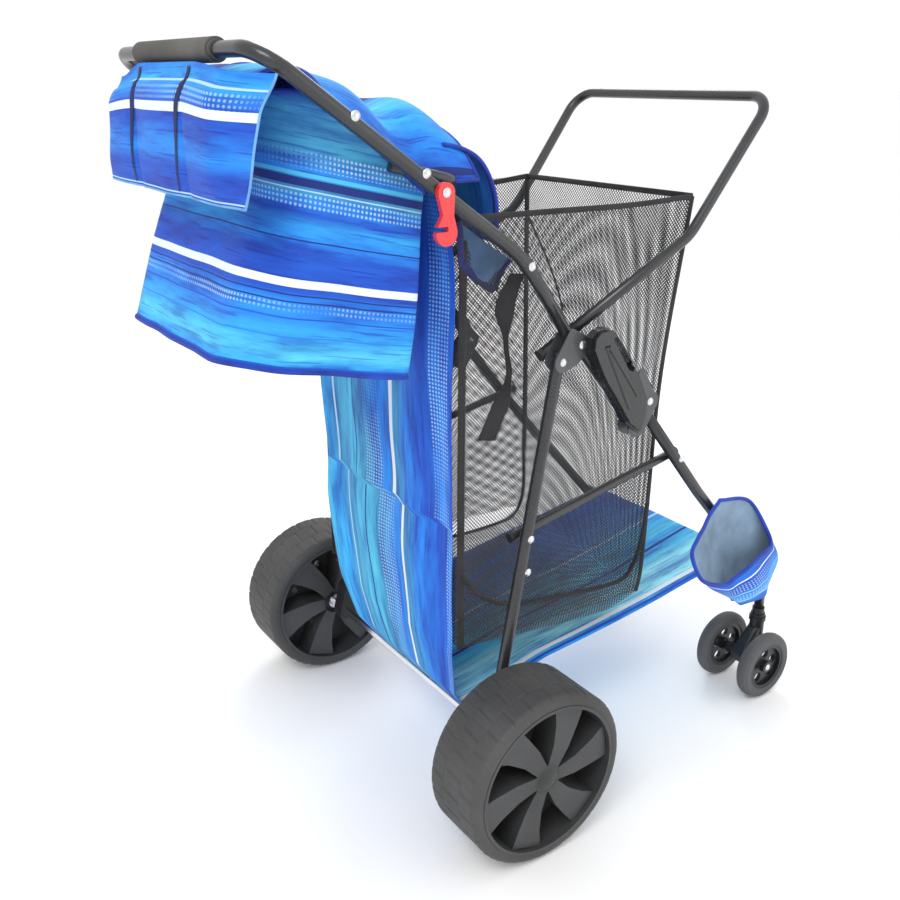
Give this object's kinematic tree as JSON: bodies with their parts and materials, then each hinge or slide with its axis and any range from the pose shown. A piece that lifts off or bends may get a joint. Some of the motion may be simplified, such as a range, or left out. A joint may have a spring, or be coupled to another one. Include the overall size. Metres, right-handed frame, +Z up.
{
  "type": "folding beach cart",
  "caption": "Folding beach cart with wide rear wheels, swivel casters, a tube frame, a mesh basket, a rear tote, a platform, a front hoop and small hanging bags.",
  "frame": {"origin": "middle of the bounding box, on the ground", "axes": "+X towards the casters and the hoop, +Y to the left of someone pushing, +Z up"},
  "size_m": [0.996, 0.74, 1.117],
  "materials": {
    "chrome_steel": "bright plated steel",
    "pin_steel": "zinc plated rivets and pins",
    "frame_black": "satin black powder coat",
    "black_plastic": "fine grained moulding",
    "gloss_black": "glossy moulding",
    "grey_plate": "satin grey plate",
    "link_grey": "satin dark grey",
    "foam_grip": "foam sleeve",
    "red_plastic": "moulded hook",
    "wheel_grey": "moulded rim",
    "tread_grey": "moulded tread",
    "cap_grey": "moulded cap",
    "rim_black": "moulded rim",
    "caster_rubber": "grey solid tyre",
    "sheet_cloth": "blue striped cloth",
    "platform_cloth": "cyan striped cloth",
    "basket_mesh": "open black net with binding",
    "tote_cloth": "blue striped cloth",
    "panel_cloth": "blue striped cloth",
    "pouch_cloth": "blue striped cloth with a pale lining",
    "webbing": "woven black webbing"
  },
  "bodies": {
    "rear_frame": {"rear_axle": "chrome_steel", "axle_clips": "pin_steel", "rear_leg_right": "frame_black", "rear_leg_left": "frame_black", "axle_bracket_right": "black_plastic", "axle_bracket_left": "black_plastic", "leg_pins": "pin_steel", "rear_sheet": "sheet_cloth", "platform_sheet": "platform_cloth", "mesh_basket": "basket_mesh"},
    "handle": {"handle_tube": "frame_black", "handle_grip": "foam_grip", "hub_plates_right": "grey_plate", "hub_plates_left": "grey_plate", "hub_pins": "pin_steel", "tote_stay": "frame_black", "handle_rivets": "pin_steel", "tote_bag": "tote_cloth", "pocket_panel": "panel_cloth", "tie_strap": "webbing"},
    "hook": {"safety_hook": "red_plastic"},
    "hoop": {"hoop_tube": "frame_black", "hoop_caps": "black_plastic"},
    "upper_links": {"upper_link_right": "link_grey", "upper_link_left": "link_grey", "link_pins": "pin_steel"},
    "latch_right": {"latch_lever_right": "gloss_black"},
    "latch_left": {"latch_lever_left": "gloss_black"},
    "front_legs": {"knee_plates_right": "grey_plate", "knee_plates_left": "grey_plate", "knee_rivets": "pin_steel", "front_leg_right": "frame_black", "front_leg_left": "frame_black", "front_crossbar": "frame_black", "crossbar_rivets": "pin_steel", "caster_sockets": "black_plastic", "leg_pouch": "pouch_cloth"},
    "braces": {"brace_right": "frame_black", "brace_left": "frame_black", "brace_caps": "black_plastic"},
    "caster_right": {"caster_housing_right": "black_plastic", "caster_axle_right": "pin_steel"},
    "caster_left": {"caster_housing_left": "black_plastic", "caster_axle_left": "pin_steel"},
    "caster_wheel_right_outer": {"caster_rim_right_outer": "rim_black", "caster_tyre_right_outer": "caster_rubber"},
    "caster_wheel_right_inner": {"caster_rim_right_inner": "rim_black", "caster_tyre_right_inner": "caster_rubber"},
    "caster_wheel_left_outer": {"caster_rim_left_outer": "rim_black", "caster_tyre_left_outer": "caster_rubber"},
    "caster_wheel_left_inner": {"caster_rim_left_inner": "rim_black", "caster_tyre_left_inner": "caster_rubber"},
    "rear_wheel_right": {"wheel_rim_right": "wheel_grey", "wheel_tyre_right": "tread_grey", "hub_cap_right": "cap_grey"},
    "rear_wheel_left": {"wheel_rim_left": "wheel_grey", "wheel_tyre_left": "tread_grey", "hub_cap_left": "cap_grey"}
  },
  "joints": [
    {"name": "handle_fold", "type": "hinge", "parent": "rear_frame", "child": "handle", "pos_m": [-0.043, 0, 0.704], "axis": [0, -1, 0], "range_deg": [0, 110], "deforming": ["rear_sheet", "platform_sheet", "mesh_basket", "tote_bag", "pocket_panel", "leg_pouch", "tie_strap"]},
    {"name": "hoop_fold", "type": "hinge", "parent": "handle", "child": "hoop", "pos_m": [-0.018, 0, 0.73], "axis": [0, -1, 0], "range_deg": [0, 85.02]},
    {"name": "link_fold", "type": "hinge", "parent": "handle", "child": "upper_links", "pos_m": [-0.009, 0, 0.724], "axis": [0, -1, 0], "range_deg": [-43.82, 0]},
    {"name": "front_leg_fold", "type": "hinge", "parent": "upper_links", "child": "front_legs", "pos_m": [0.109, 0, 0.583], "axis": [0, -1, 0], "range_deg": [-102.12, 0]},
    {"name": "brace_fold", "type": "hinge", "parent": "rear_frame", "child": "braces", "pos_m": [-0.09, 0, 0.446], "axis": [0, -1, 0], "range_deg": [0, 31.02]},
    {"name": "latch_right", "type": "hinge", "parent": "upper_links", "child": "latch_right", "pos_m": [0.0736, -0.229, 0.6253], "axis": [0, -1, 0], "range_deg": [-30, 0]},
    {"name": "latch_left", "type": "hinge", "parent": "upper_links", "child": "latch_left", "pos_m": [0.0736, 0.229, 0.6253], "axis": [0, -1, 0], "range_deg": [-30, 0]},
    {"name": "hook_swing", "type": "hinge", "parent": "handle", "child": "hook", "pos_m": [-0.241, -0.24, 0.9455], "axis": [0, -1, 0], "range_deg": [-40, 60]},
    {"name": "rear_wheel_spin_right", "type": "hinge", "parent": "rear_frame", "child": "rear_wheel_right", "pos_m": [-0.151, -0.314, 0.135], "axis": [0, 1, 0], "continuous": true},
    {"name": "rear_wheel_spin_left", "type": "hinge", "parent": "rear_frame", "child": "rear_wheel_left", "pos_m": [-0.151, 0.314, 0.135], "axis": [0, 1, 0], "continuous": true},
    {"name": "caster_swivel_right", "type": "hinge", "parent": "front_legs", "child": "caster_right", "pos_m": [0.47, -0.229, 0.115], "axis": [0, 0, 1], "continuous": true},
    {"name": "caster_spin_right_outer", "type": "hinge", "parent": "caster_right", "child": "caster_wheel_right_outer", "pos_m": [0.436, -0.276, 0.062], "axis": [0, 1, 0], "continuous": true},
    {"name": "caster_spin_right_inner", "type": "hinge", "parent": "caster_right", "child": "caster_wheel_right_inner", "pos_m": [0.436, -0.182, 0.062], "axis": [0, 1, 0], "continuous": true},
    {"name": "caster_swivel_left", "type": "hinge", "parent": "front_legs", "child": "caster_left", "pos_m": [0.47, 0.229, 0.115], "axis": [0, 0, 1], "continuous": true},
    {"name": "caster_spin_left_outer", "type": "hinge", "parent": "caster_left", "child": "caster_wheel_left_outer", "pos_m": [0.436, 0.276, 0.062], "axis": [0, 1, 0], "continuous": true},
    {"name": "caster_spin_left_inner", "type": "hinge", "parent": "caster_left", "child": "caster_wheel_left_inner", "pos_m": [0.436, 0.182, 0.062], "axis": [0, 1, 0], "continuous": true}
  ],
  "couplings": [
    {"joint": "hoop_fold", "follows": "handle_fold", "ratio": 0.77273},
    {"joint": "link_fold", "follows": "handle_fold", "ratio": -0.39818},
    {"joint": "front_leg_fold", "follows": "handle_fold", "ratio": -0.92818},
    {"joint": "brace_fold", "follows": "handle_fold", "ratio": 0.28182}
  ]
}
